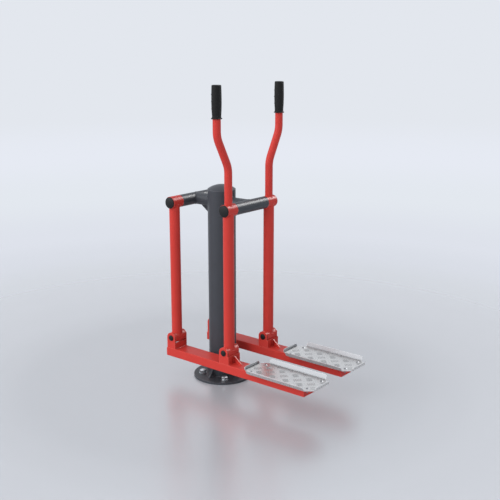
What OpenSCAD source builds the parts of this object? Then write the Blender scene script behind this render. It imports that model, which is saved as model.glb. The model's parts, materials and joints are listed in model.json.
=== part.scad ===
// Outdoor air walker: one post on a round base plate carries two crossbars. On each side a front
// and a rear link hang from the crossbars and hold a foot beam level, as a parallelogram swing.
// Millimetres. +Z is up, +X is to the right, -Y is the front, where the foot plates are.
// The origin is the centre of the base plate's underside. The links are modelled hanging straight.

/* [Post and base] */
// Outside diameter of the post tube
post_d = 139.7; // [101.6:0.1:168.3]
// Wall of the post tube
post_wall = 4; // [3:0.5:8]
// Height of the post tube's top above the pivot line of the crossbars
post_over = 62; // [50:1:120]
// Rise of the domed post cap
dome_rise = 26; // [15:1:40]
// Diameter of the base plate
base_d = 300; // [250:5:400]
// Thickness of the base plate
base_t = 12; // [8:1:20]
// Pitch circle of the ground anchors
anchor_pcd = 210; // [190:5:300]
// Thread diameter of the ground anchors
anchor_d = 16; // [12:2:20]
// Number of ground anchors
anchor_n = 4; // [4:1:8]
// Height of the stiffening gussets on the base plate
gusset_h = 50; // [30:5:90]
// Length of the gussets on the plate, outwards from the post
gusset_l = 38; // [25:1:60]

/* [Crossbars] */
// Distance between the front and the rear crossbar
bar_pitch = 352; // [290:1:430]
// Outside diameter of the crossbars and of the arms that carry them
bar_d = 60.3; // [48.3:0.1:76.1]
// Wall of the crossbars and arms
bar_wall = 3.2; // [2.5:0.1:5]
// Length of a crossbar
bar_len = 235; // [190:1:300]
// Depth of the plate gusset under each arm, at the post
arm_gusset_h = 45; // [25:1:70]
// Length of the plate gussets under the arms, outwards from the post
arm_gusset_l = 60; // [40:1:75]
// Length of the hubs that turn at the ends of the crossbars
hub_len = 67.5; // [55:0.5:90]
// Diameter of the axles on which the hubs turn
axle_d = 25; // [20:1:30]

/* [Links] */
// Pivot to pivot length of the swing links
link_len = 700; // [600:5:850]
// Outside diameter of the link tube
link_d = 53; // [42:0.5:60]
// Wall of the link tube
link_wall = 3; // [2:0.5:5]
// Outside diameter of the eye at the link's lower end
eye_d = 56; // [50:0.5:60]

/* [Foot beams] */
// Clear height under the foot beams
ground_gap = 113.5; // [80:0.5:160]
// Width of the beam tube
beam_w = 88; // [60:1:100]
// Height of the beam tube
beam_h = 44; // [30:1:60]
// Wall of the beam tube
beam_wall = 3; // [2:0.5:5]
// Length of the beam ahead of its front pivot
beam_ahead = 479.5; // [440:0.5:580]
// Length of the beam behind its rear pivot
beam_behind = 33; // [30:1:80]
// Height of the pivot pins above the beam
pin_rise = 55.5; // [45:0.5:80]
// Diameter of the pivot pins
pin_d = 20; // [16:1:24]
// Thickness of the clevis plates
ear_t = 6; // [4:1:10]
// Width of the clevis ears
ear_w = 56; // [40:1:60]

/* [Foot plates] */
// Length of the foot plate's floor
tray_l = 403; // [330:1:430]
// Width of the foot plate's floor
tray_w = 170; // [140:1:190]
// Thickness of the tread plate
tray_t = 3.5; // [2:0.5:5]
// Overhang of the floor ahead of the beam's front end
tray_over = 69; // [30:0.5:90]
// Cut of the floor's corners across its width
cut_x = 30; // [15:1:45]
// Cut of the floor's corners along its length
cut_y = 37; // [15:1:50]
// Height of the side lips above the floor
side_rise = 19; // [10:1:35]
// Outward lean of the side lips at their top
side_out = 11.5; // [0:0.5:20]
// Height of the front and rear lips above the floor
end_rise = 14; // [8:1:30]
// Outward lean of the front and rear lips at their top
end_out = 2; // [0:0.5:12]

/* [Handles] */
// Outside diameter of the handle tube
handle_d = 38; // [30:1:42]
// Sideways offset of the handle bar from the link
handle_out = 78; // [40:1:110]
// Height of the lower bend above the upper pivot
bend_low = 202; // [150:1:260]
// Height of the upper bend above the upper pivot
bend_high = 349; // [300:1:420]
// Radius of both bends
bend_r = 110; // [60:5:130]
// Height of the grip's lower end above the upper pivot
grip_at = 433; // [400:1:480]
// Length of the grip
grip_len = 151.5; // [110:0.5:170]
// Largest diameter of the grip
grip_d = 47; // [42:0.5:52]

/* [Hidden] */
$fn = 96;
eps = 0.01;
far = 2000;

low_z = ground_gap + beam_h + pin_rise;   // lower pivot line
piv_z = low_z + link_len;                 // upper pivot line
post_top = piv_z + post_over;
post_r = post_d / 2;
anchor_fit = 1;                           // radial clearance of the anchors in the base plate
bar_y = bar_pitch / 2;
bar_r = bar_d / 2;

// Hub, bearing and axle stations, measured outwards along a crossbar from the middle
bar_end = bar_len / 2;
hub_gap = 1;
hub_in = bar_end + hub_gap;
hub_out = hub_in + hub_len;
track_off = 36.5;                         // centre plane of a link and its beam, from the hub's
track_x = hub_in + track_off;             // inner end
bearing_w = 15;
bearing_wall = 4.15;                      // wall of a hub round its bearing
bearing_r = bar_r - bearing_wall;
bearing_set = 7.5;                        // outer bearing, below the hub's outer end
axle_r = axle_d / 2;
run_fit = 0.05;                           // radial running clearance at the pivots
float_gap = 0.3;                          // end float between turning and fixed faces
bearing_a = bar_end + 3;                  // inner bearing, inner face
bearing_b = hub_out - bearing_set - bearing_w;
axle_end = bearing_b + bearing_w + float_gap;
washer_t = 3;

pin_r = pin_d / 2;
open_fit = 0.5;                           // clearance at the rear lower pivots
ear_out = beam_w / 2;                     // the clevis ears stand flush with the beam's sides
ear_in = ear_out - ear_t;
ear_front = ear_w / 2 - 3;                // front edges of the ears, ahead of the pin
beam_top = ground_gap + beam_h;
beam_y0 = -bar_y - beam_ahead;
beam_y1 = bar_y + beam_behind;

carrier_t = 7.5;
carrier_w = 40;
carrier_lap = 20;                         // lap of the front carrier on the beam
screw_out = 11;                           // plate screws, outwards of the beam's sides
screw_x = beam_w / 2 + screw_out;
carrier_x = screw_x + 13;                 // half length of a carrier
tray_z = beam_top + carrier_t + tray_t;   // top of the floor
tray_y0 = beam_y0 - tray_over;            // front edge of the floor
tray_y1 = tray_y0 + tray_l;
tray_mid = (tray_y0 + tray_y1) / 2;
screw_in = 40;                            // plate screws, from the floor's front and rear edges
lip_corner = 9;
lip_root = 1;                             // strip of a lip that lies in the floor

// ---- finishes -------------------------------------------------------------------------------
module grey_paint() color([0.26, 0.28, 0.30]) children();
module red_paint() color([0.78, 0.17, 0.15]) children();
module black_part() color([0.07, 0.07, 0.07]) children();
module zinc() color([0.78, 0.80, 0.82]) children();
module steel() color([0.55, 0.56, 0.58]) children();
module alloy() color([0.80, 0.82, 0.82]) children();
module nylon() color([0.12, 0.12, 0.13]) children();

// ---- shared shapes --------------------------------------------------------------------------
// Rounded rectangle, centred
module slab(w, h, r) {
    square([w - 2 * r, h], center = true);
    square([w, h - 2 * r], center = true);
    for (x = [-1, 1], y = [-1, 1])
        translate([x * (w / 2 - r), y * (h / 2 - r)])
            circle(r);
}

// Cylinder along X between two stations
module rod_x(r, x0, x1) {
    translate([x0, 0, 0])
        rotate([0, 90, 0])
            cylinder(r = r, h = x1 - x0);
}

// Pipe along X between two stations
module pipe_x(r, bore, x0, x1) {
    difference() {
        rod_x(r, x0, x1);
        rod_x(bore, x0 - 1, x1 + 1);
    }
}

// Solid of revolution about X: the profile's y runs outwards along +X, its x is the radius
module turned_x() {
    rotate([0, 90, 0])
        rotate_extrude()
            children();
}

// Plain washer standing on z = 0
module washer(r, bore, t) {
    difference() {
        cylinder(r = r, h = t);
        translate([0, 0, -1])
            cylinder(r = bore, h = t + 2);
    }
}

// Hexagon prism by its width across the flats
module hexagon(flats, h) {
    linear_extrude(h)
        circle(r = flats / 2 / cos(30), $fn = 6);
}

// Low round-headed socket screw: the head stands on z = 0, the shank points down
module button_screw(d, head_r, head_h, shank) {
    difference() {
        union() {
            intersection() {
                cylinder(r = head_r, h = head_h);
                translate([0, 0, head_h - (head_r * head_r + head_h * head_h) / (2 * head_h)])
                    sphere(r = (head_r * head_r + head_h * head_h) / (2 * head_h) + 0.4);
            }
            translate([0, 0, -shank])
                cylinder(r = d / 2, h = shank + eps);
        }
        translate([0, 0, head_h * 0.45])
            hexagon(d * 0.62, head_h);
    }
}

// Radius of the dome on a cap whose rounded edge meets it smoothly
function ball_r(r, rim, rise, edge) =
    (pow(r - edge, 2) + pow(rise - rim, 2) - edge * edge) / (2 * (rise - rim - edge));

// Half section of a round cap: a straight side up to the rim, a rounded edge and a shallow dome
module domed(r, rim, rise, edge) {
    ball = ball_r(r, rim, rise, edge);
    intersection() {
        square([r, rise]);
        union() {
            square([r, rim]);
            translate([r - edge, rim])
                circle(edge);
            intersection() {
                square([(r - edge) * ball / (ball - edge), rise]);
                translate([0, rise - ball])
                    circle(ball);
            }
        }
    }
}

// Space under a dome, as a half section
module dome_space(r, top, ball) {
    intersection() {
        translate([0, -1])
            square([r, top + 1]);
        translate([0, top - ball])
            circle(ball);
    }
}

// ---- post and base --------------------------------------------------------------------------
module anchor_places() {
    for (i = [0 : anchor_n - 1])
        rotate([0, 0, (i + 0.5) * 360 / anchor_n])
            translate([anchor_pcd / 2, 0, base_t])
                children();
}

module base_plate() grey_paint() {
    edge = 1;
    difference() {
        rotate_extrude()
            polygon([[0, 0], [base_d / 2, 0], [base_d / 2, base_t - edge],
                     [base_d / 2 - edge, base_t], [0, base_t]]);
        anchor_places()
            translate([0, 0, -base_t - 1])
                cylinder(r = anchor_d / 2 + anchor_fit, h = base_t + 2);
    }
}

module base_gussets() grey_paint() {
    t = 8;
    nose = 4;
    difference() {
        for (a = [0 : 90 : 270])
            rotate([0, 0, a])
                translate([0, t / 2, base_t])
                    rotate([90, 0, 0])
                        linear_extrude(t)
                            polygon([[post_r - 6, 0], [post_r + gusset_l, 0],
                                     [post_r + gusset_l, nose], [post_r + nose, gusset_h],
                                     [post_r - 6, gusset_h]]);
        cylinder(r = post_r, h = post_top);
    }
}

module anchor_washers() zinc() {
    anchor_places()
        washer(anchor_d * 1.2, anchor_d / 2 + 0.5, washer_t);
}

// Heavy hexagon nut with a low domed top and a blind thread bore
module cap_nut(d) {
    flats = d * 1.875;
    hex_h = d * 0.8;
    rim = 1.5;
    rise = d * 0.28;
    difference() {
        union() {
            intersection() {
                hexagon(flats, hex_h);
                rotate_extrude()
                    polygon([[0, 0], [flats / 2 - 0.4, 0], [flats / 2 + 2.3, 1.6],
                             [flats / 2 + 2.3, hex_h - 1.6], [flats / 2 - 0.4, hex_h], [0, hex_h]]);
            }
            translate([0, 0, hex_h - rim])
                rotate_extrude()
                    domed(flats * 0.48, rim, rim + rise, 1.2);
        }
        translate([0, 0, -1])
            cylinder(r = d / 2 + 0.1, h = hex_h);
    }
}

module anchor_cap_nuts() zinc() {
    anchor_places()
        translate([0, 0, washer_t])
            cap_nut(anchor_d);
}

module post_tube() grey_paint() {
    difference() {
        translate([0, 0, base_t])
            cylinder(r = post_r, h = post_top - base_t);
        translate([0, 0, base_t - 1])
            cylinder(r = post_r - post_wall, h = post_top);
    }
}

module post_cap() grey_paint() {
    rim = 1.5;
    edge = 4;
    spigot = 15;
    translate([0, 0, post_top])
        difference() {
            union() {
                rotate_extrude()
                    domed(post_r, rim, dome_rise, edge);
                translate([0, 0, -spigot])
                    cylinder(r = post_r - post_wall, h = spigot + eps);
            }
            translate([0, 0, -spigot - 1])
                cylinder(r = post_r - post_wall - 4, h = spigot + 1);
        }
}

// ---- arms and crossbars ---------------------------------------------------------------------
module at_bar(side) {
    translate([0, side * bar_y, piv_z])
        children();
}

// Arm tube from the post to a crossbar, coped on both
module arm(side) {
    inner = post_r * 0.7;
    nose = 2;
    difference() {
        translate([0, 0, piv_z])
            rotate([-side * 90, 0, 0])
                translate([0, 0, inner])
                    washer(bar_r, bar_r - bar_wall, bar_y - inner - nose);
        at_bar(side)
            rod_x(bar_r, -bar_end - 1, bar_end + 1);
        cylinder(r = post_r, h = post_top);
    }
}

module front_arm() grey_paint() arm(-1);

module rear_arm() grey_paint() arm(1);

module arm_gussets() grey_paint() {
    t = 8;
    tip = post_r + arm_gusset_l;
    foot_z = piv_z - bar_r - arm_gusset_h;
    difference() {
        for (side = [-1, 1])
            translate([-t / 2, 0, 0])
                rotate([90, 0, 90])
                    linear_extrude(t)
                        polygon([[side * (post_r - 6), foot_z - 6 * arm_gusset_h / arm_gusset_l],
                                 [side * tip, piv_z - bar_r - 1.5], [side * tip, piv_z],
                                 [side * (post_r - 6), piv_z]]);
        cylinder(r = post_r, h = post_top);
        for (side = [-1, 1])
            at_bar(side)
                rod_x(bar_r, -bar_end, bar_end);
        translate([0, 0, piv_z])
            rotate([90, 0, 0])
                cylinder(r = bar_r, h = far, center = true);
    }
}

module crossbar(side) {
    at_bar(side)
        pipe_x(bar_r, bar_r - bar_wall, -bar_end, bar_end);
}

module front_crossbar() grey_paint() crossbar(-1);

module rear_crossbar() grey_paint() crossbar(1);

// Turned end plugs in the crossbars, with a boss for the inner bearing
module crossbar_plugs() steel() {
    plug = 14;
    for (side = [-1, 1], end = [0, 1])
        at_bar(side)
            mirror([end, 0, 0])
                difference() {
                    union() {
                        rod_x(bar_r - bar_wall, bar_end - plug, bar_end);
                        rod_x(axle_r + 3.5, bar_end - eps, bearing_a - float_gap);
                    }
                    rod_x(axle_r, bar_end - plug - 1, bearing_a);
                }
}

module hub_axles() steel() {
    for (side = [-1, 1])
        at_bar(side)
            difference() {
                rod_x(axle_r, -axle_end, axle_end);
                for (end = [0, 1])
                    mirror([end, 0, 0])
                        rod_x(5, axle_end - 26, axle_end + 1);
            }
}

// Retaining washer and cap screw on each axle end
module axle_end_bolts() zinc() {
    for (side = [-1, 1], end = [0, 1])
        at_bar(side)
            mirror([end, 0, 0])
                translate([axle_end, 0, 0])
                    rotate([0, 90, 0]) {
                        washer(16, 5.2, washer_t);
                        translate([0, 0, washer_t])
                            button_screw(10, 8.75, 4.6, 24);
                    }
}

// ---- links ----------------------------------------------------------------------------------
// Places a part drawn for the right-hand side (x > 0) on the stated side and pivot row
module at_link(x_side, y_side, z) {
    mirror([x_side < 0 ? 1 : 0, 0, 0])
        translate([0, y_side * bar_y, z])
            children();
}

module hub(x_side, y_side) {
    at_link(x_side, y_side, piv_z)
        difference() {
            rod_x(bar_r, hub_in, hub_out);
            rod_x(bearing_r - 3, hub_in - 1, hub_out + 1);
            rod_x(bearing_r, hub_in - 1, bearing_a + bearing_w);
            rod_x(bearing_r, bearing_b, hub_out + 1);
        }
}

module left_front_hub() red_paint() hub(-1, -1);

module left_rear_hub() red_paint() hub(-1, 1);

module right_front_hub() red_paint() hub(1, -1);

module right_rear_hub() red_paint() hub(1, 1);

// Pair of sealed ball bearings
module hub_bearings(x_side, y_side) {
    groove = 0.6;
    at_link(x_side, y_side, piv_z)
        for (x = [bearing_a, bearing_b])
            difference() {
                pipe_x(bearing_r, axle_r + run_fit, x, x + bearing_w);
                pipe_x(bearing_r - 3.6, axle_r + 3.6, x - 1, x + groove);
                pipe_x(bearing_r - 3.6, axle_r + 3.6, x + bearing_w - groove, x + bearing_w + 1);
            }
}

module left_front_hub_bearings() steel() hub_bearings(-1, -1);

module left_rear_hub_bearings() steel() hub_bearings(-1, 1);

module right_front_hub_bearings() steel() hub_bearings(1, -1);

module right_rear_hub_bearings() steel() hub_bearings(1, 1);

// Black plug cap that closes a hub: rounded edge, shallow dome and a short skirt in the hub's bore
module hub_cap(x_side, y_side) {
    r = bearing_r + 2.5;
    rim = 2.5;
    rise = 9;
    edge = 2.5;
    wall = 1.4;
    skirt = 2;
    at_link(x_side, y_side, piv_z)
        translate([hub_out, 0, 0])
            difference() {
                union() {
                    turned_x()
                        domed(r, rim, rise, edge);
                    rod_x(bearing_r, -skirt, eps);
                }
                rod_x(bearing_r - wall, -skirt - 1, 0);
                turned_x()
                    dome_space(bearing_r - wall, rise - wall, ball_r(r, rim, rise, edge));
            }
}

module left_front_hub_cap() black_part() hub_cap(-1, -1);

module left_rear_hub_cap() black_part() hub_cap(-1, 1);

module right_front_hub_cap() black_part() hub_cap(1, -1);

module right_rear_hub_cap() black_part() hub_cap(1, 1);

// Link tube, coped on the hub and on the eye
module link_tube(x_side, y_side) {
    at_link(x_side, y_side, low_z)
        difference() {
            translate([track_x, 0, 0])
                cylinder(r = link_d / 2, h = link_len);
            translate([track_x, 0, -1])
                cylinder(r = link_d / 2 - link_wall, h = link_len + 2);
            rod_x(eye_d / 2, 0, far);
            translate([0, 0, link_len])
                rod_x(bar_r, 0, far);
        }
}

module left_front_link_tube() red_paint() link_tube(-1, -1);

module left_rear_link_tube() red_paint() link_tube(-1, 1);

module right_front_link_tube() red_paint() link_tube(1, -1);

module right_rear_link_tube() red_paint() link_tube(1, 1);

flange_t = 1.2;
eye_half = ear_in - flange_t - float_gap;
bush_r = eye_d / 2 - 5;

module eye(x_side, y_side) {
    at_link(x_side, y_side, low_z)
        pipe_x(eye_d / 2, bush_r, track_x - eye_half, track_x + eye_half);
}

module left_front_eye() red_paint() eye(-1, -1);

module left_rear_eye() red_paint() eye(-1, 1);

module right_front_eye() red_paint() eye(1, -1);

module right_rear_eye() red_paint() eye(1, 1);

// Two flanged nylon bushes pressed into the eye
module eye_bushes(x_side, y_side, fit) {
    bush_l = 26;
    at_link(x_side, y_side, low_z)
        translate([track_x, 0, 0])
            for (end = [0, 1])
                mirror([end, 0, 0])
                    difference() {
                        union() {
                            rod_x(bush_r, eye_half - bush_l, eye_half + flange_t);
                            rod_x(eye_d / 2 - 1.5, eye_half, eye_half + flange_t);
                        }
                        rod_x(pin_r + fit, 0, ear_out);
                    }
}

module left_front_eye_bushes() nylon() eye_bushes(-1, -1, run_fit);

module left_rear_eye_bushes() nylon() eye_bushes(-1, 1, open_fit);

module right_front_eye_bushes() nylon() eye_bushes(1, -1, run_fit);

module right_rear_eye_bushes() nylon() eye_bushes(1, 1, open_fit);

// ---- handles --------------------------------------------------------------------------------
bend_a = atan2(handle_out, bend_high - bend_low);
bend_cut = bend_r * tan(bend_a / 2);
slope_l = norm([handle_out, bend_high - bend_low]) - 2 * bend_cut;
grip_top = 4.5;                           // rubber above the handle tube's end
handle_wall = 3;
sleeve_l = 4;
butt = 0.01;

// Straight length of the handle tube, standing on z = 0
module handle_run(h) {
    washer(handle_d / 2, handle_d / 2 - handle_wall, h);
}

// Bend that starts upwards at the origin and leans towards +X
module handle_bend() {
    translate([bend_r, 0, 0])
        rotate([90, 0, 0])
            rotate([0, 0, 180 - bend_a])
                rotate_extrude(angle = bend_a)
                    translate([bend_r, 0])
                        difference() {
                            circle(handle_d / 2);
                            circle(handle_d / 2 - handle_wall);
                        }
}

// Backing sleeve inside the tube, across a butt joint at z = 0
module handle_sleeve() {
    translate([0, 0, -sleeve_l / 2])
        washer(handle_d / 2 - handle_wall / 2, handle_d / 2 - handle_wall - 0.5, sleeve_l);
}

// Handle bar: upright, bend outwards, slope, bend back and upright, butt joined on sleeves
module handle(x_side) {
    low = bend_low - bend_cut;
    high = bend_high + bend_cut;
    at_link(x_side, -1, piv_z)
        difference() {
            translate([track_x, 0, 0]) {
                handle_run(low - butt);
                translate([0, 0, low]) {
                    handle_sleeve();
                    handle_bend();
                }
                translate([0, 0, bend_low])
                    rotate([0, bend_a, 0])
                        translate([0, 0, bend_cut]) {
                            handle_sleeve();
                            translate([0, 0, butt])
                                handle_run(slope_l - 2 * butt);
                            translate([0, 0, slope_l]) {
                                handle_sleeve();
                                rotate([0, 0, 180])
                                    handle_bend();
                            }
                        }
                translate([handle_out, 0, high]) {
                    handle_sleeve();
                    translate([0, 0, butt])
                        handle_run(grip_at + grip_len - grip_top - high - butt);
                }
            }
            rod_x(bar_r, track_x - handle_d, track_x + handle_d);
        }
}

module left_handle() red_paint() handle(-1);

module right_handle() red_paint() handle(1);

// Radius of the grip's barrel at a height above its lower end
grip_belly = grip_len * 0.52;
grip_foot = 14;
function barrel(z) = grip_d / 2 - (z < grip_belly
    ? 2.4 * pow((grip_belly - z) / (grip_belly - grip_foot), 2)
    : 1.4 * pow((z - grip_belly) / (grip_len - grip_belly), 2));

// Rubber grip: end flange, barrel with three finger ribs on its rear side, rounded closed top
module grip(x_side) {
    round_r = 4.5;
    shoulder = grip_len - round_r;
    neck = barrel(shoulder);
    rib_t = 4;
    rib_out = 2.8;
    at_link(x_side, -1, piv_z + grip_at)
        translate([track_x + handle_out, 0, 0])
            difference() {
                union() {
                    rotate_extrude()
                        polygon(concat(
                            [[0, 0], [grip_d / 2 + 2, 0], [grip_d / 2 + 2, 3],
                             [barrel(grip_foot) + 0.6, 5.5]],
                            [for (z = [grip_foot : 8 : shoulder - 4]) [barrel(z), z]],
                            [[neck, shoulder], [0, shoulder]]));
                    translate([0, 0, shoulder])
                        rotate_extrude()
                            intersection() {
                                square([neck, round_r]);
                                union() {
                                    square([neck - round_r, round_r]);
                                    translate([neck - round_r, 0])
                                        circle(round_r);
                                }
                            }
                    for (z = [0.3, 0.51, 0.72] * grip_len) {
                        rib_core = barrel(z) - 0.4 - rib_t / 2;
                        translate([0, rib_out, z - rib_t / 2])
                            rotate_extrude() {
                                square([rib_core, rib_t]);
                                translate([rib_core, rib_t / 2])
                                    intersection() {
                                        circle(rib_t / 2);
                                        translate([-1, -rib_t])
                                            square([rib_t, 2 * rib_t]);
                                    }
                            }
                    }
                }
                translate([0, 0, -1])
                    cylinder(r = handle_d / 2, h = grip_len - grip_top + 1);
            }
}

module left_grip() black_part() grip(-1);

module right_grip() black_part() grip(1);

// ---- foot beams -----------------------------------------------------------------------------
module at_beam(x_side) {
    mirror([x_side < 0 ? 1 : 0, 0, 0])
        translate([track_x, 0, 0])
            children();
}

// Rectangular tube with closed ends and a drain hole underneath near each end
module beam_tube(x_side) {
    end_t = 4;
    round_r = 4;
    drain_in = 30;
    at_beam(x_side)
        difference() {
            translate([0, 0, ground_gap + beam_h / 2])
                rotate([90, 0, 0])
                    difference() {
                        translate([0, 0, -beam_y1])
                            linear_extrude(beam_y1 - beam_y0)
                                slab(beam_w, beam_h, round_r);
                        translate([0, 0, -beam_y1 + end_t])
                            linear_extrude(beam_y1 - beam_y0 - 2 * end_t)
                                slab(beam_w - 2 * beam_wall, beam_h - 2 * beam_wall,
                                     max(round_r - beam_wall, 0.5));
                    }
            for (y = [beam_y0 + drain_in, beam_y1 - drain_in])
                translate([0, y, ground_gap - 1])
                    cylinder(r = 5, h = beam_wall + 2);
        }
}

module left_beam_tube() red_paint() beam_tube(-1);

module right_beam_tube() red_paint() beam_tube(1);

// Height of a web above the beam's top that clears the eye, by the web's rear face from the pin
function web_top(y, gap) = pin_rise - sqrt(max(pow(eye_d / 2, 2) - y * y, 0)) - gap;

// Pair of ears on the beam's top, flush with its sides and round about the pin at the origin
module ears() {
    for (x = [-ear_out, ear_in])
        difference() {
            union() {
                rod_x(ear_w / 2, x, x + ear_t);
                translate([x, -ear_w / 2, -pin_rise])
                    cube([ear_t, ear_w, pin_rise]);
            }
            translate([x - 1, -ear_w, -pin_rise - 1])
                cube([ear_t + 2, ear_w - ear_front, pin_rise + ear_w]);
            rod_x(pin_r + 0.1, x - 1, x + ear_t + 1);
        }
}

// Clevis ears with a front web and a sloping rib on the beam's top
module front_clevis(x_side) {
    web_h = web_top(ear_front, 1.4);
    rib_h = web_h - 4;
    rib_l = 47;
    at_beam(x_side)
        translate([0, -bar_y, low_z]) {
            ears();
            translate([-ear_out, -ear_front - ear_t, -pin_rise])
                cube([2 * ear_out, ear_t, web_h]);
            translate([-ear_t / 2, -ear_front - ear_t, -pin_rise])
                rotate([90, 0, 90])
                    linear_extrude(ear_t)
                        polygon([[eps, 0], [-rib_l, 0], [-rib_l, 4], [-4, rib_h], [eps, rib_h]]);
        }
}

module left_front_clevis() red_paint() front_clevis(-1);

module right_front_clevis() red_paint() front_clevis(1);

// Clevis ears with a web between them
module rear_clevis(x_side) {
    set_in = 0.5;
    web_h = web_top(ear_front - set_in - ear_t, 3);
    at_beam(x_side)
        translate([0, bar_y, low_z]) {
            ears();
            translate([-ear_in - eps, -ear_front + set_in, -pin_rise])
                cube([2 * (ear_in + eps), ear_t, web_h]);
        }
}

module left_rear_clevis() red_paint() rear_clevis(-1);

module right_rear_clevis() red_paint() rear_clevis(1);

module at_pins(x_side) {
    at_beam(x_side)
        for (side = [-1, 1])
            translate([0, side * bar_y, low_z])
                children();
}

module pivot_pins(x_side) {
    at_pins(x_side)
        difference() {
            rod_x(pin_r, -ear_out, ear_out);
            for (end = [0, 1])
                mirror([end, 0, 0])
                    rod_x(4, ear_out - 20, ear_out + 1);
        }
}

module left_pivot_pins() steel() pivot_pins(-1);

module right_pivot_pins() steel() pivot_pins(1);

// Retaining washer and screw at each pin end
module pin_screws(x_side) {
    at_pins(x_side)
        for (end = [0, 1])
            mirror([end, 0, 0])
                translate([ear_out, 0, 0])
                    rotate([0, 90, 0]) {
                        washer(pin_r + 1.5, 4.2, 1.2);
                        translate([0, 0, 1.2])
                            button_screw(8, 6.5, 2.2, 17);
                    }
}

module left_pin_screws() zinc() pin_screws(-1);

module right_pin_screws() zinc() pin_screws(1);

// Domed plastic cover over each pin end
module pin_caps(x_side) {
    r = pin_r + 5;
    rim = 1.6;
    rise = 6;
    edge = 2;
    wall = 1.3;
    at_pins(x_side)
        for (end = [0, 1])
            mirror([end, 0, 0])
                translate([ear_out, 0, 0])
                    difference() {
                        turned_x()
                            domed(r, rim, rise, edge);
                        turned_x()
                            dome_space(r - edge, rise - wall, ball_r(r, rim, rise, edge));
                    }
}

module left_pin_caps() black_part() pin_caps(-1);

module right_pin_caps() black_part() pin_caps(1);

// ---- foot plates ----------------------------------------------------------------------------
// Lip folded up from an edge along Y at the origin, leaning towards +X, with rounded free corners
module lip(run, rise, out) {
    lean = atan2(out, rise);
    slant = norm([rise, out]);
    far_side = lean - 20;
    intersection() {
        rotate([90, 0, 0])
            linear_extrude(run, center = true) {
                translate([-lip_root, -tray_t])
                    square([lip_root, tray_t]);
                rotate([0, 0, -lean])
                    square([tray_t, slant]);
                intersection() {
                    circle(tray_t);
                    polygon([[0, 0], [-lip_root / 2, -2 * tray_t], [2 * tray_t, -2 * tray_t],
                             [2 * tray_t * cos(far_side), -2 * tray_t * sin(far_side)]]);
                }
            }
        rotate([0, lean, 0])
            translate([-lip_root - 1, 0, 0])
                rotate([90, 0, 90])
                    linear_extrude(tray_t + lip_root + 2) {
                        translate([-run / 2, -2 * tray_t])
                            square([run, 2 * tray_t + slant - lip_corner]);
                        translate([-run / 2 + lip_corner, 0])
                            square([run - 2 * lip_corner, slant]);
                        for (y = [-1, 1])
                            translate([y * (run / 2 - lip_corner), slant - lip_corner])
                                circle(lip_corner);
                    }
    }
}

module plate_screw_places() {
    for (x = [-screw_x, screw_x], y = [tray_y0 + screw_in, tray_y1 - screw_in])
        translate([x, y, 0])
            children();
}

// Tread plate tray: floor with cut corners and a folded lip along each straight edge
module foot_plate(x_side) {
    w = tray_w / 2;
    at_beam(x_side)
        translate([0, 0, tray_z])
            difference() {
                union() {
                    translate([0, 0, -tray_t])
                        linear_extrude(tray_t)
                            polygon([[w - cut_x, tray_y0], [w, tray_y0 + cut_y],
                                     [w, tray_y1 - cut_y], [w - cut_x, tray_y1],
                                     [cut_x - w, tray_y1], [-w, tray_y1 - cut_y],
                                     [-w, tray_y0 + cut_y], [cut_x - w, tray_y0]]);
                    for (a = [0, 180])
                        translate([0, tray_mid, 0])
                            rotate([0, 0, a])
                                translate([w, 0, 0])
                                    lip(tray_l - 2 * cut_y, side_rise, side_out);
                    for (a = [90, 270])
                        translate([0, tray_mid, 0])
                            rotate([0, 0, a])
                                translate([tray_l / 2, 0, 0])
                                    lip(tray_w - 2 * cut_x, end_rise, end_out);
                }
                plate_screw_places()
                    translate([0, 0, -tray_t - 1])
                        cylinder(r = 4.5, h = tray_t + 2);
            }
}

module left_foot_plate() alloy() foot_plate(-1);

module right_foot_plate() alloy() foot_plate(1);

// Flat bars that hold the foot plate: one across the beam, and one ahead of the beam's front end
// that tapers back onto the beam's top
module plate_carriers(x_side) {
    fore = tray_y0 + screw_in - carrier_w / 2;
    aft = beam_y0 + carrier_lap;
    neck = beam_w / 2 - 5;
    at_beam(x_side)
        difference() {
            translate([0, 0, beam_top])
                linear_extrude(carrier_t) {
                    translate([0, tray_y1 - screw_in])
                        square([2 * carrier_x, carrier_w], center = true);
                    polygon([[-carrier_x, fore], [carrier_x, fore], [carrier_x, fore + carrier_w],
                             [neck, max(aft, fore + carrier_w + 5)],
                             [-neck, max(aft, fore + carrier_w + 5)],
                             [-carrier_x, fore + carrier_w]]);
                }
            plate_screw_places()
                translate([0, 0, beam_top - 1])
                    cylinder(r = 4.2, h = carrier_t + 2);
        }
}

module left_plate_carriers() red_paint() plate_carriers(-1);

module right_plate_carriers() red_paint() plate_carriers(1);

// Round-headed screws through the floor, with nuts under the carriers
module plate_screws(x_side) {
    nut_h = 6.5;
    grip_l = tray_t + carrier_t;
    at_beam(x_side)
        plate_screw_places() {
            translate([0, 0, tray_z])
                button_screw(8, 7, 3.6, grip_l + nut_h + 2);
            translate([0, 0, beam_top - nut_h])
                difference() {
                    hexagon(13, nut_h);
                    translate([0, 0, -1])
                        cylinder(r = 4.05, h = nut_h + 2);
                }
        }
}

module left_plate_screws() zinc() plate_screws(-1);

module right_plate_screws() zinc() plate_screws(1);

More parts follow.
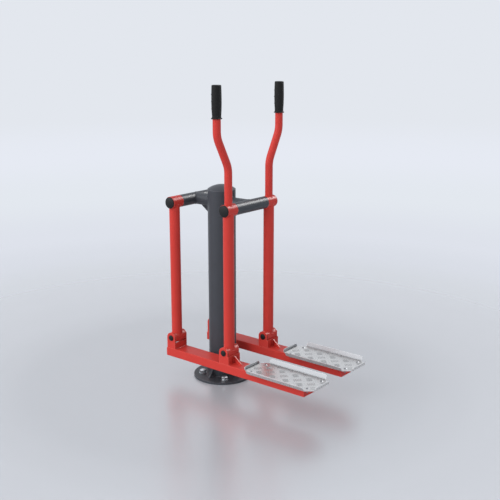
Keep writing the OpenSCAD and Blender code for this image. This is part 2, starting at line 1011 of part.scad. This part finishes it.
base_plate();
base_gussets();
anchor_washers();
anchor_cap_nuts();
post_tube();
post_cap();
front_arm();
rear_arm();
arm_gussets();
front_crossbar();
rear_crossbar();
crossbar_plugs();
hub_axles();
axle_end_bolts();
left_front_hub();
left_rear_hub();
right_front_hub();
right_rear_hub();
left_front_hub_bearings();
left_rear_hub_bearings();
right_front_hub_bearings();
right_rear_hub_bearings();
left_front_hub_cap();
left_rear_hub_cap();
right_front_hub_cap();
right_rear_hub_cap();
left_front_link_tube();
left_rear_link_tube();
right_front_link_tube();
right_rear_link_tube();
left_front_eye();
left_rear_eye();
right_front_eye();
right_rear_eye();
left_front_eye_bushes();
left_rear_eye_bushes();
right_front_eye_bushes();
right_rear_eye_bushes();
left_handle();
right_handle();
left_grip();
right_grip();
left_beam_tube();
right_beam_tube();
left_front_clevis();
right_front_clevis();
left_rear_clevis();
right_rear_clevis();
left_pivot_pins();
right_pivot_pins();
left_pin_screws();
right_pin_screws();
left_pin_caps();
right_pin_caps();
left_foot_plate();
right_foot_plate();
left_plate_carriers();
right_plate_carriers();
left_plate_screws();
right_plate_screws();
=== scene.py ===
# Outdoor air walker: finishes, weld seams, tread pattern, studio and camera.
# Metres, in the frame's axes. The front, where the foot plates are, is -Y.
import json
import math
import random

import bmesh
import bpy
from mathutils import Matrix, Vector


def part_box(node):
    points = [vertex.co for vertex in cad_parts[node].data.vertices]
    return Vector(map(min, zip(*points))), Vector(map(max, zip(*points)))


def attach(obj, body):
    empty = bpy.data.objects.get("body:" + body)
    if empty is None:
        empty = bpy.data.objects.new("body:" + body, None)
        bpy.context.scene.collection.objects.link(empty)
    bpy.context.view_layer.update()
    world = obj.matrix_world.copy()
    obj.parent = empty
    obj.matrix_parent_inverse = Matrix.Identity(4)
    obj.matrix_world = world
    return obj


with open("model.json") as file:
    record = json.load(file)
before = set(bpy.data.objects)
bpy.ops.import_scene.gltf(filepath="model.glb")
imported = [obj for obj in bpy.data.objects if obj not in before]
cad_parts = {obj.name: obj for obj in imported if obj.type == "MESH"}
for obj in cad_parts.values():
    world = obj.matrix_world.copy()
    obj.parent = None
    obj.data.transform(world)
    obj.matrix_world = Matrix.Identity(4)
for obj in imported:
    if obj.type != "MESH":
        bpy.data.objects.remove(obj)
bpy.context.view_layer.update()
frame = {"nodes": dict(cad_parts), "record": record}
nodes = frame["nodes"]
scene = bpy.context.scene
scene.view_settings.view_transform = "Standard"
random.seed(7)


def rgb(r, g, b):
    """Display colour, 0 to 255, as linear values."""
    def lin(v):
        v /= 255
        return v / 12.92 if v <= 0.04045 else ((v + 0.055) / 1.055) ** 2.4
    return (lin(r), lin(g), lin(b), 1)


# ---- materials ------------------------------------------------------------------------------
PATCH_EDGES = (0.3, 0.7)     # noise values at which a patch of colour is darkest and lightest
FINE = 9                     # how much finer the variation in roughness is than that in colour
UPWARD = (0.02, 0.08)        # upward part of the normal over which a face starts to take the painted slope shade
EDGE_TURN = (0.80, 0.985)    # agreement of true and rounded normals, at a painted edge highlight and off it
SHADER_SAMPLES = 6


class Tree:
    """Short hand for building a node tree."""

    def __init__(self, tree):
        self.tree = tree
        tree.nodes.clear()

    def node(self, kind, **values):
        n = self.tree.nodes.new(kind)
        for key, value in values.items():
            if key in n.inputs:
                n.inputs[key].default_value = value
            else:
                setattr(n, key, value)
        return n

    def link(self, a, out, b, into):
        self.tree.links.new(a.outputs[out], b.inputs[into])

    def noise(self, coords, scale, detail=2.0, rough=0.5):
        n = self.node("ShaderNodeTexNoise", Scale=scale, Detail=detail, Roughness=rough)
        self.link(coords, 0, n, "Vector")
        return n

    def remap(self, source, out, low, high, a=0.35, b=0.65):
        """Noise value between a and b becomes low to high."""
        n = self.node("ShaderNodeMapRange", **{"From Min": a, "From Max": b,
                                               "To Min": low, "To Max": high})
        self.link(source, out, n, "Value")
        return n


def blend_to(t, factor, out, base, colour):
    """Mixes the base colour towards another one where the factor is 1."""
    mix = t.node("ShaderNodeMix", data_type="RGBA")
    t.link(factor, out, mix, 0)
    t.tree.links.new(base, mix.inputs[6])
    mix.inputs[7].default_value = colour
    return mix.outputs[2]


def material(name, colour, metallic=0.0, rough=(0.4, 0.5), mottle=0.03, mottle_scale=14,
             grain=(), spec=0.5, edge=None, corner_shade=None, slope_shade=None):
    """Principled finish. mottle varies the colour, rough is a range, and grain is a list of
    (noise scale per metre, height in metres) laid over each other as bump. edge is the reach and
    the colour of a painted highlight along outer edges. corner_shade is the reach and the colour of
    painted shade in inner corners, and how open a point is from where that shade fills to where it
    fades. slope_shade is painted shade on sloping faces that look upward: the upward part of the
    normal over which it fades, and its colour."""
    mat = bpy.data.materials.new(name)
    mat.use_nodes = True
    t = Tree(mat.node_tree)
    out = t.node("ShaderNodeOutputMaterial")
    surf = t.node("ShaderNodeBsdfPrincipled", **{"Metallic": metallic, "Specular IOR Level": spec})
    t.link(surf, 0, out, "Surface")
    where = t.node("ShaderNodeTexCoord")
    coords = t.node("ShaderNodeMapping")
    t.link(where, "Object", coords, "Vector")
    patches = t.noise(coords, mottle_scale, 4)
    dark = tuple(c * (1 - mottle) for c in colour[:3]) + (1,)
    light = tuple(min(1, c * (1 + mottle)) for c in colour[:3]) + (1,)
    ramp = t.node("ShaderNodeValToRGB")
    for end, at, tone in zip(ramp.color_ramp.elements, PATCH_EDGES, (dark, light)):
        end.position, end.color = at, tone
    t.link(patches, 0, ramp, 0)
    base = ramp.outputs[0]
    # painted shade: faces that slope upward are darkened towards the slope shade colour
    if slope_shade:
        split = t.node("ShaderNodeSeparateXYZ")
        t.link(where, "Normal", split, 0)
        steep = t.node("ShaderNodeMath", operation="MULTIPLY")
        t.link(t.remap(split, "Z", 1, 0, *slope_shade[0]), 0, steep, 0)
        t.link(t.remap(split, "Z", 0, 1, *UPWARD), 0, steep, 1)
        base = blend_to(t, steep, 0, base, slope_shade[1])
    # painted shade: inner corners, where ambient occlusion finds them closed in, are darkened
    # towards the corner shade colour
    if corner_shade:
        shade_ao = t.node("ShaderNodeAmbientOcclusion", samples=SHADER_SAMPLES, only_local=True,
                      Distance=corner_shade[0])
        base = blend_to(t, t.remap(shade_ao, "AO", 1, 0, *corner_shade[2]), 0, base, corner_shade[1])
    # painted highlight: outer edges, where a rounded normal turns away from the true one, are
    # lightened towards the edge colour
    if edge:
        soft = t.node("ShaderNodeBevel", samples=SHADER_SAMPLES, Radius=edge[0])
        true = t.node("ShaderNodeNewGeometry")
        turn = t.node("ShaderNodeVectorMath", operation="DOT_PRODUCT")
        t.link(soft, 0, turn, 0)
        t.link(true, "Normal", turn, 1)
        base = blend_to(t, t.remap(turn, "Value", 1, 0, *EDGE_TURN), 0, base, edge[1])
    t.tree.links.new(base, surf.inputs["Base Color"])
    fine = t.noise(coords, mottle_scale * FINE, 3)
    shine = t.remap(fine, 0, *rough)
    t.link(shine, 0, surf, "Roughness")
    last = None
    for scale, height in grain:
        n = t.noise(coords, scale, 2)
        b = t.node("ShaderNodeBump", Strength=1.0, Distance=height)
        t.link(n, 0, b, "Height")
        if last:
            t.link(last, 0, b, "Normal")
        last = b
    if last:
        t.link(last, 0, surf, "Normal")
    return mat


PAINT_GRAIN = [(420, 0.00005), (1500, 0.000012)]
ALLOY = rgb(214, 213, 211)
FINISH = {
    # red: painted highlight along outer edges, painted shade in inner corners
    "red_paint": material("red_powder_coat", rgb(206, 64, 57), rough=(0.30, 0.38), mottle=0.02,
                          grain=PAINT_GRAIN, spec=0.12,
                          edge=(0.0025, rgb(246, 120, 108)),
                          corner_shade=(0.035, rgb(110, 14, 12), (0.45, 0.92))),
    # anthracite: painted highlight along outer edges, painted shade in inner corners
    "grey_paint": material("anthracite_powder_coat", rgb(70, 73, 79), rough=(0.32, 0.40),
                           mottle=0.03, grain=PAINT_GRAIN, spec=0.15,
                           edge=(0.003, rgb(118, 121, 128)),
                           corner_shade=(0.010, rgb(36, 38, 42), (0.50, 0.92))),
    "black_plastic": material("black_cap_plastic", rgb(24, 25, 26), rough=(0.42, 0.55),
                              mottle=0.05, grain=[(900, 0.00003)], spec=0.2),
    "rubber": material("black_grip_rubber", rgb(30, 30, 30), rough=(0.55, 0.68), mottle=0.07,
                       grain=[(1400, 0.00006), (260, 0.00003)], spec=0.15),
    # alloy plate: painted highlight along edges and folds, painted shade in folds and on its
    # upward-sloping faces
    "tread_alloy": material("tread_plate_alloy", ALLOY, metallic=1.0,
                            rough=(0.26, 0.34), mottle=0.02, mottle_scale=30,
                            grain=[(180, 0.000006), (1300, 0.000004)],
                            edge=(0.0025, rgb(250, 250, 250)),
                            corner_shade=(0.009, rgb(50, 51, 54), (0.70, 0.90)),
                            slope_shade=((0.70, 0.92), rgb(176, 177, 179))),
    "zinc": material("zinc_plate", rgb(196, 199, 202), metallic=1.0, rough=(0.24, 0.36),
                     mottle=0.05, mottle_scale=60, grain=[(700, 0.00001)]),
    "bright_steel": material("turned_steel", rgb(176, 178, 180), metallic=1.0, rough=(0.2, 0.34),
                             mottle=0.04, mottle_scale=40, grain=[(900, 0.00001)]),
    "dark_steel": material("blackened_steel", rgb(128, 129, 132), metallic=1.0, rough=(0.35, 0.45),
                           mottle=0.08, mottle_scale=60, grain=[(900, 0.00001)]),
    "nylon": material("black_nylon", rgb(38, 38, 40), rough=(0.4, 0.5), mottle=0.05,
                      grain=[(1100, 0.00002)]),
}
for part in frame["record"]["subparts"]:
    obj = nodes[part["node"]]
    obj.data.materials.clear()
    obj.data.materials.append(FINISH[part["material_slot"]])


def piece(name, mesh, body, slot):
    """Smooth-shaded object of its own that rides on a body."""
    obj = bpy.data.objects.new(name, mesh)
    scene.collection.objects.link(obj)
    obj.data.materials.append(FINISH[slot])
    for p in obj.data.polygons:
        p.use_smooth = True
    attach(obj, body)
    return obj


# ---- sizes taken from the frame -------------------------------------------------------------
def mid(name):
    """Middle of a node's box."""
    lo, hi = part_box(name)
    return (lo + hi) / 2


def half(name):
    """Half the size of a node's box."""
    lo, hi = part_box(name)
    return (hi - lo) / 2


PIV_Z = mid("right_front_hub").z
LOW_Z = mid("right_front_eye").z
BAR_R = half("front_crossbar").z
BAR_Y = mid("rear_crossbar").y
POST_R = half("post_tube").x
BASE_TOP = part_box("base_plate")[1].z
TRACK_X = mid("right_front_link_tube").x
LINK_R = half("right_front_link_tube").x
EYE_R = half("right_front_eye").z
BEAM_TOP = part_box("right_beam_tube")[1].z
SCREW_HEAD = 0.0036          # height of a plate screw's head above the foot plate's floor
FLOOR_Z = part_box("right_plate_screws")[1].z - SCREW_HEAD


# ---- weld seams -----------------------------------------------------------------------------
SEAM_SIDES = 8
SEAM_STEP = 0.0011           # distance between the rings of a bead
RIPPLE_PITCH = 0.0032
RIPPLE, UNEVEN = 0.07, 0.03  # share of the radius that ripples, and that varies at random
BEAD_RISE = 0.8              # height of a bead above its path, over its half width
BEAD_END = 0.35              # radius of an open bead at its ends, over its radius


def seam(bm, path, radius, closed):
    """Rippled bead along a path of (point, outward direction)."""
    pts = [Vector(p) for p, _ in path]
    outs = [Vector(o).normalized() for _, o in path]
    n = len(pts)
    run, rings = 0.0, []
    for i in range(n):
        before = pts[i - 1] if i or closed else pts[0]
        after = pts[(i + 1) % n] if i < n - 1 or closed else pts[-1]
        along = (after - before).normalized()
        out = (outs[i] - along * outs[i].dot(along)).normalized()
        side = along.cross(out)
        if i:
            run += (pts[i] - pts[i - 1]).length
        r = radius * (1 + RIPPLE * math.cos(2 * math.pi * run / RIPPLE_PITCH)
                      + random.uniform(-UNEVEN, UNEVEN))
        if not closed and i in (0, n - 1):
            r *= BEAD_END
        turns = [2 * math.pi * k / SEAM_SIDES for k in range(SEAM_SIDES)]
        rings.append([bm.verts.new(pts[i] + (out * math.cos(a) * BEAD_RISE
                                             + side * math.sin(a)) * r) for a in turns])
    for i in range(n if closed else n - 1):
        a, b = rings[i], rings[(i + 1) % n]
        for k in range(SEAM_SIDES):
            k_next = (k + 1) % SEAM_SIDES
            bm.faces.new((a[k], b[k], b[k_next], a[k_next]))
    if not closed:
        bm.faces.new(rings[0])
        bm.faces.new(rings[-1][::-1])


def ring_path(fn, length):
    """Closed path from fn(angle) -> (point, outward direction)."""
    count = max(24, round(length / SEAM_STEP))
    return [fn(2 * math.pi * i / count) for i in range(count)]


def line_path(a, b, out):
    """Straight path from a to b."""
    a, b = Vector(a), Vector(b)
    count = max(4, round((b - a).length / SEAM_STEP))
    return [(a.lerp(b, i / count), out) for i in range(count + 1)]


def finish_piece(name, bm, body, slot):
    """Turns the faces outward and makes a piece of them."""
    bmesh.ops.recalc_face_normals(bm, faces=bm.faces)
    mesh = bpy.data.meshes.new(name)
    bm.to_mesh(mesh)
    bm.free()
    return piece(name, mesh, body, slot)


def saddle(cx, cy, cz, tube_r, drum_r, up):
    """Seam where an upright tube of tube_r meets a drum of drum_r lying along X."""
    def at(a):
        y = tube_r * math.sin(a)
        z = math.sqrt(drum_r ** 2 - y ** 2)
        return ((cx + tube_r * math.cos(a), cy + y, cz + up * z),
                (math.cos(a), math.sin(a) * 1.3, up * 0.55))
    return ring_path(at, 2 * math.pi * tube_r)


# the links: tube to hub, tube to eye, and on the front ones handle to hub
SIDES = (("left", -1), ("right", 1))
HANDLE_R = 0.019
LINK_BEAD = 0.0024
for side, sx in SIDES:
    for end, sy in (("front", -1), ("rear", 1)):
        bm = bmesh.new()
        seam(bm, saddle(sx * TRACK_X, sy * BAR_Y, PIV_Z, LINK_R, BAR_R, -1), LINK_BEAD, True)
        seam(bm, saddle(sx * TRACK_X, sy * BAR_Y, LOW_Z, LINK_R, EYE_R, 1), LINK_BEAD, True)
        if end == "front":
            seam(bm, saddle(sx * TRACK_X, sy * BAR_Y, PIV_Z, HANDLE_R, BAR_R, 1), LINK_BEAD, True)
        finish_piece(f"{side}_{end}_link_seams", bm, f"{side}_{end}_link", "red_paint")

# the standing frame: arms to post and crossbars, gussets, and the post's foot
GUSSET_HALF = 0.004          # half the thickness of a gusset
GUSSET_BEAD = 0.0022
POST_BEAD, BAR_BEAD, FOOT_BEAD, FOOT_RIB_BEAD = 0.0028, 0.0026, 0.0032, 0.0024
LEAN = 0.55                  # how far a bead round an arm leans along the arm
GUSSET_GAP = 0.062           # radians kept free beside a gusset by the bead round the post's foot
ARC_STEPS = 90


def post_end(a, sy):
    """Where an arm meets the post, at an angle round the arm."""
    x = BAR_R * math.cos(a)
    return ((x, sy * math.sqrt(POST_R ** 2 - x ** 2), PIV_Z + BAR_R * math.sin(a)),
            (math.cos(a), sy * LEAN, math.sin(a)))


def bar_end(a, sy):
    """Where an arm meets its crossbar, at an angle round the arm."""
    return ((BAR_R * math.cos(a), sy * (BAR_Y - BAR_R * abs(math.cos(a))),
             PIV_Z + BAR_R * math.sin(a)),
            (math.cos(a), -sy * LEAN, math.sin(a)))


bm = bmesh.new()
round_arm = 2 * math.pi * BAR_R
arm_gusset_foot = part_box("arm_gussets")[0].z + 0.002
for sy in (-1, 1):
    seam(bm, ring_path(lambda a: post_end(a, sy), round_arm), POST_BEAD, True)
    seam(bm, ring_path(lambda a: bar_end(a, sy), round_arm), BAR_BEAD, True)
    for sx in (-1, 1):
        seam(bm, line_path((sx * GUSSET_HALF, sy * POST_R * 0.998, arm_gusset_foot),
                           (sx * GUSSET_HALF, sy * POST_R * 0.998, PIV_Z - BAR_R),
                           (sx, sy, 0)), GUSSET_BEAD, False)
at_base, at_gusset_top = Vector((0, 0, BASE_TOP)), Vector((0, 0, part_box("base_gussets")[1].z))
gusset_reach = half("base_gussets").x
for k in range(4):
    mid_a = math.pi / 4 + k * math.pi / 2
    arc = [mid_a + (i / ARC_STEPS - 0.5) * 2 * (math.pi / 4 - GUSSET_GAP)
           for i in range(ARC_STEPS + 1)]
    seam(bm, [((POST_R * math.cos(a), POST_R * math.sin(a), BASE_TOP),
               (math.cos(a), math.sin(a), 1)) for a in arc], FOOT_BEAD, False)
    a = k * math.pi / 2
    rad, tan = Vector((math.cos(a), math.sin(a), 0)), Vector((-math.sin(a), math.cos(a), 0))
    for s in (-1, 1):
        off = tan * s * GUSSET_HALF
        foot = rad * (POST_R + 0.001) + off + at_base
        seam(bm, line_path(foot, rad * gusset_reach + off + at_base,
                           tan * s + Vector((0, 0, 1))), FOOT_RIB_BEAD, False)
        seam(bm, line_path(foot, rad * (POST_R + 0.0005) + off + at_gusset_top,
                           tan * s + rad), GUSSET_BEAD, False)
finish_piece("frame_seams", bm, "frame", "grey_paint")

# the beams: ears, webs and rib of the clevises
EAR_T, EAR_FRONT, EAR_REAR = 0.006, 0.025, 0.028
RIB_HALF = 0.003
RIB_HIGH, WEB_HIGH = 0.034, 0.0300    # tops of the beads up the rib and up the rear web
EDGE_BEAD, WEB_BEAD = 0.0021, 0.0024
END_BEAD, RIB_BEAD, WEB_SIDE_BEAD = 0.0022, 0.0020, 0.0018
for side, sx in SIDES:
    bm = bmesh.new()
    cx = sx * TRACK_X
    top = BEAM_TOP
    ear_out = half(f"{side}_beam_tube").x
    ear_in = ear_out - EAR_T
    for end in ("front", "rear"):
        pin_y = mid(f"{side}_{end}_eye").y
        front, rear = pin_y - EAR_FRONT, pin_y + EAR_REAR
        for s in (-1, 1):
            # the ear's outer seam fills the beam's rounded corner flush with its side
            edge = (cx + s * (ear_out - 0.0020), top - 0.0013)
            seam(bm, line_path((edge[0], front - (EAR_T if end == "front" else 0), edge[1]),
                               (edge[0], rear, edge[1]), (s, 0, -0.6)), EDGE_BEAD, False)
            seam(bm, line_path((cx + s * ear_in, front, top), (cx + s * ear_in, rear, top),
                               (-s, 0, 1)), WEB_BEAD, False)
            seam(bm, line_path((cx + s * ear_in, rear, top), (cx + s * ear_out, rear, top - 0.001),
                               (0, 1, 1)), END_BEAD, False)
        if end == "front":
            y = front - EAR_T
            rib_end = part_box(f"{side}_front_clevis")[0].y
            for s in (-1, 1):
                rib_side = cx + s * RIB_HALF
                seam(bm, line_path((cx + s * (RIB_HALF + 0.001), y, top),
                                   (cx + s * (ear_out - 0.003), y, top), (0, -1, 1)),
                     WEB_BEAD, False)
                seam(bm, line_path((rib_side, y - 0.002, top), (rib_side, rib_end + 0.003, top),
                                   (s, 0, 1)), END_BEAD, False)
                seam(bm, line_path((rib_side, y, top + 0.003), (rib_side, y, top + RIB_HIGH),
                                   (s, -1, 0)), RIB_BEAD, False)
        else:
            y = front + 0.0005
            seam(bm, line_path((cx - ear_in + 0.001, y, top), (cx + ear_in - 0.001, y, top),
                               (0, -1, 1)), WEB_BEAD, False)
            for s in (-1, 1):
                seam(bm, line_path((cx + s * ear_in, y, top + 0.002),
                                   (cx + s * ear_in, y, top + WEB_HIGH), (-s, -1, 0)),
                     WEB_SIDE_BEAD, False)
    finish_piece(f"{side}_beam_seams", bm, f"{side}_beam", "red_paint")


# ---- tread pattern --------------------------------------------------------------------------
# raised bars: painted shade on their sloping sides
BAR_FINISH = material("tread_bar_alloy", ALLOY, metallic=1.0, rough=(0.24, 0.34),
                      mottle=0.02, mottle_scale=30, grain=[(1300, 0.000004)],
                      slope_shade=((0.80, 0.95), rgb(108, 109, 112)))
BAR_L, BAR_W, BAR_H = 0.031, 0.0046, 0.0014
BAR_SINK = 0.0002            # depth of a bar's foot below the floor of the plate
BAR_STATIONS = 10            # steps along a bar
BAR_RIBS = (-1, -0.72, -0.35, 0, 0.35, 0.72, 1)  # places across a bar, over its half width
BAR_PITCH, GROUP = 0.0074, 0.078                 # between bars, and between like groups
GROUP_BARS = range(-2, 3)
PATTERN_X, PATTERN_Y = -0.003, -0.513            # middle of one group
PLATE_L, FOLD = 0.403, 0.0055                    # length inside the folds, and what they add
FLOOR_HALF = 0.085                               # half the width inside the folds
CORNER_X, CORNER_Y, CORNER_KEEP = 0.030, 0.037, 0.93  # cut corners
FOLD_CLEAR, SCREW_CLEAR = 0.0035, 0.0115         # room left beside the folds and the screws
SCREW_X, SCREW_IN = 0.055, 0.04                  # plate screws, from the middle and from the ends


def tread_bar(bm, centre, along, across, up):
    """Lens-shaped raised bar with a rounded crest."""
    rows = []
    for i in range(BAR_STATIONS + 1):
        u = -1 + 2 * i / BAR_STATIONS
        w = BAR_W / 2 * math.sqrt(max(0, 1 - abs(u) ** 2.4)) + 0.0001
        h = BAR_H * (1 - abs(u) ** 3) ** 0.5
        rows.append([bm.verts.new(centre + along * (u * BAR_L / 2) + across * (w * k)
                                  + up * (h * (1 - abs(k) ** 2.2) - BAR_SINK))
                     for k in BAR_RIBS])
    for a, b in zip(rows, rows[1:]):
        for k in range(len(BAR_RIBS) - 1):
            bm.faces.new((a[k], b[k], b[k + 1], a[k + 1]))


def on_floor(p, y0, y1):
    """Whether a point of the floor lies inside the folds and the cut corners."""
    x, y = abs(p.x), p.y
    if x > FLOOR_HALF - FOLD_CLEAR or y < y0 + FOLD_CLEAR or y > y1 - FOLD_CLEAR:
        return False
    near = min(y - y0, y1 - y)
    return ((x - (FLOOR_HALF - CORNER_X)) / CORNER_X + (CORNER_Y - near) / CORNER_Y
            < CORNER_KEEP)


def tread(side, sx):
    """Raised bars of a foot plate, in groups of five that turn by a right angle in between."""
    y0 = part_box(f"{side}_foot_plate")[0].y + FOLD
    y1 = y0 + PLATE_L
    screws = [Vector((x, y, 0))
              for x in (-SCREW_X, SCREW_X) for y in (y0 + SCREW_IN, y1 - SCREW_IN)]
    bm = bmesh.new()
    up = Vector((0, 0, 1))
    plate = Vector((sx * TRACK_X, 0, FLOOR_Z))
    groups = [(PATTERN_X + GROUP * (i + kind / 2), PATTERN_Y + GROUP * (j + kind / 2), kind)
              for i in range(-3, 4) for j in range(-5, 6) for kind in (0, 1)]
    for cx, cy, kind in groups:
        along = Vector((1, 1 if kind == 0 else -1, 0)).normalized()
        across = Vector((-along.y, along.x, 0))
        for k in GROUP_BARS:
            c = Vector((cx, cy, 0)) + across * (k * BAR_PITCH)
            tests = [c + along * (s * BAR_L / 2) for s in (-1, -0.5, 0, 0.5, 1)]
            if (all(on_floor(p, y0, y1) for p in tests)
                    and all((screw - p).length >= SCREW_CLEAR for p in tests for screw in screws)):
                tread_bar(bm, plate + c, along, across, up)
    bars = finish_piece(f"{side}_tread_bars", bm, f"{side}_beam", "tread_alloy")
    bars.data.materials[0] = BAR_FINISH
    return bars


trays = [tread(side, sx) for side, sx in SIDES]
trays += [nodes["left_foot_plate"], nodes["right_foot_plate"]]


# ---- studio ---------------------------------------------------------------------------------
FLOOR_REACH = 16.0           # metres over which the floor's tone changes
FLOOR_GAIN = 1.11            # brings the lit floor to the tone as written
FADE_START, FADE_END = 1.6, 3.4  # metres from the middle at which floor gives way to backdrop
NEAR_GLOW = 0.35             # share of the floor's tone near the object that is its own
GLOSS_SHARE, GLOSS_ROUGH = 0.30, 0.30
SHEET_SIDES, FLOOR_RADIUS = 96, 300
SHEET_GAP = 0.0003           # metres from the object's foot to the gloss, and on to the floor
MATT_LIGHT = 0.42            # strength of the surroundings on matt surfaces
TONES = [(0.95, (194, 197, 204)), (1.16, (202, 205, 212)), (1.35, (208, 211, 218)),
         (1.77, (212, 215, 222)), (2.2, (215, 219, 226)), (2.8, (218, 222, 231)),
         (3.5, (222, 226, 235)), (5.5, (227, 232, 239)), (8.8, (230, 234, 243)),
         (16.0, (227, 231, 238))]


def backdrop_colour(t, coords_node, out, gain=1.0):
    """Pale blue-grey that rises and fades with the distance from the object, in metres."""
    ramp = t.node("ShaderNodeValToRGB")
    ramp.color_ramp.interpolation = "EASE"
    while len(ramp.color_ramp.elements) < len(TONES):
        ramp.color_ramp.elements.new(0.5)
    for e, (dist, c) in zip(ramp.color_ramp.elements, TONES):
        e.position = dist / FLOOR_REACH
        e.color = tuple(v * gain for v in rgb(*c)[:3]) + (1,)
    t.link(coords_node, out, ramp, 0)
    return ramp


def disc(name, radius, z, near, far):
    """Round sheet of the studio floor, and its material: the node tree, the distance from the
    middle, and a mixture of two shaders whose share goes from near to far."""
    mesh = bpy.data.meshes.new(name)
    bm = bmesh.new()
    bmesh.ops.create_circle(bm, cap_ends=True, segments=SHEET_SIDES, radius=radius)
    for face in bm.faces:
        face.normal_update()
        if face.normal.z < 0:
            face.normal_flip()
    bm.to_mesh(mesh)
    bm.free()
    obj = bpy.data.objects.new(name, mesh)
    obj.location.z = z
    scene.collection.objects.link(obj)
    mat = bpy.data.materials.new(name)
    mat.use_nodes = True
    mesh.materials.append(mat)
    t = Tree(mat.node_tree)
    where = t.node("ShaderNodeTexCoord")
    dist = t.node("ShaderNodeVectorMath", operation="LENGTH")
    t.link(where, "Object", dist, 0)
    fade = t.node("ShaderNodeMapRange", **{"From Min": FADE_START, "From Max": FADE_END,
                                           "To Min": near, "To Max": far})
    fade.interpolation_type = "SMOOTHSTEP"
    t.link(dist, "Value", fade, "Value")
    mix = t.node("ShaderNodeMixShader")
    t.link(fade, 0, mix, 0)
    t.link(mix, 0, t.node("ShaderNodeOutputMaterial"), "Surface")
    return obj, t, dist, mix


# the sheet that takes light and shadow, and turns into a plain backdrop further out
floor, t, dist, mix = disc("studio_floor", FLOOR_RADIUS, -2 * SHEET_GAP, NEAR_GLOW, 1.0)
scaled = t.node("ShaderNodeMapRange", **{"From Max": FLOOR_REACH})
t.link(dist, "Value", scaled, "Value")
near = t.node("ShaderNodeBsdfDiffuse")
t.link(backdrop_colour(t, scaled, 0, FLOOR_GAIN), 0, near, "Color")
glow = t.node("ShaderNodeEmission", Strength=1.0)
t.link(backdrop_colour(t, scaled, 0), 0, glow, 0)
t.link(near, 0, mix, 1)
t.link(glow, 0, mix, 2)

# a clear gloss just above it, which mirrors the object softly and no lamp
gloss, t, _, mix = disc("studio_gloss", FADE_END, -SHEET_GAP, GLOSS_SHARE, 0.0)
t.link(t.node("ShaderNodeBsdfTransparent"), 0, mix, 1)
t.link(t.node("ShaderNodeBsdfAnisotropic", Color=(1, 1, 1, 1), Roughness=GLOSS_ROUGH), 0, mix, 2)

# soft light on matt surfaces, and the pale backdrop where it is seen or mirrored
world = bpy.data.worlds.new("studio")
scene.world = world
world.use_nodes = True
t = Tree(world.node_tree)
out = t.node("ShaderNodeOutputWorld")
path = t.node("ShaderNodeLightPath")
looked_at = t.node("ShaderNodeMath", operation="MAXIMUM")
t.link(path, "Is Camera Ray", looked_at, 0)
t.link(path, "Is Glossy Ray", looked_at, 1)
seen = t.node("ShaderNodeMath", operation="MAXIMUM")
t.link(looked_at, 0, seen, 0)
t.link(path, "Is Transmission Ray", seen, 1)
soft = t.node("ShaderNodeBackground", Color=(0.97, 0.985, 1.0, 1), Strength=MATT_LIGHT)
show = t.node("ShaderNodeBackground", Color=rgb(227, 231, 238), Strength=1.0)
mix = t.node("ShaderNodeMixShader")
t.link(seen, 0, mix, 0)
t.link(soft, 0, mix, 1)
t.link(show, 0, mix, 2)
t.link(mix, 0, out, "Surface")


def sun(name, towards_light, strength, angle, blind_to=(), only=()):
    """Lamp, angle degrees across, that skips what is in blind_to or lights only what is in only."""
    lamp = bpy.data.lights.new(name, "SUN")
    lamp.energy, lamp.angle = strength, math.radians(angle)
    obj = bpy.data.objects.new(name, lamp)
    obj.rotation_mode = "QUATERNION"
    obj.rotation_quaternion = Vector(towards_light).to_track_quat("Z", "Y")
    scene.collection.objects.link(obj)
    lit = bpy.data.collections.new(name + "_lights")
    for target in (*blind_to, *only):
        lit.objects.link(target)
    for row in lit.collection_objects:
        row.light_linking.link_state = "INCLUDE" if only else "EXCLUDE"
    obj.light_linking.receiver_collection = lit
    return obj


KEY, FILL, STREAK = (-0.80, 0.40, 0.45), (-0.88, -0.20, 0.40), (0.75, -0.25, 0.58)
TOP, RIM = (0.1, 0.3, 1.0), (-0.73, 0.64, 0.20)
KEY_ANGLE, FILL_ANGLE, STREAK_ANGLE = 60, 110, 28
sun("key", KEY, 1.48, KEY_ANGLE, [gloss, *trays])
sun("fill", FILL, 0.78, FILL_ANGLE, [gloss, *trays])
# the bright plates mirror the lamps, so only a weak share of them falls there; from some sides
# the plates still clip to white, and the painted slope shade of tread_alloy is lightened to suit
# this weak light
sun("key_on_trays", KEY, 0.55, KEY_ANGLE, only=trays)
sun("fill_on_trays", FILL, 0.27, FILL_ANGLE, only=trays)
sun("streak_on_trays", STREAK, 0.5, STREAK_ANGLE, only=trays)
sun("top", TOP, 0.45, 80, [gloss])
# two strips that only show as gloss on the object
for name, towards_light, strength, angle in (("streak", STREAK, 4.2, STREAK_ANGLE),
                                             ("rim", RIM, 0.5, 50)):
    sun(name, towards_light, strength, angle, [floor, gloss, *trays]).visible_diffuse = False

# ---- camera ---------------------------------------------------------------------------------
SENSOR, IMAGE_W = 36, 500    # millimetres, and pixels
FOCAL_PX = 858.10            # focal length in pixels of the image
DOWN, ROUND = 13.67, -50.96  # degrees that the view looks down and turns
lens = bpy.data.cameras.new("camera")
lens.sensor_width, lens.lens = SENSOR, FOCAL_PX / IMAGE_W * SENSOR
lens.shift_y = -0.001
lens.clip_start, lens.clip_end = 0.05, 900
camera = bpy.data.objects.new("camera", lens)
camera.location = (-3.17249, -2.75381, 1.68938)
camera.rotation_euler = (math.radians(90 - DOWN), 0, math.radians(ROUND))
scene.collection.objects.link(camera)
scene.camera = camera
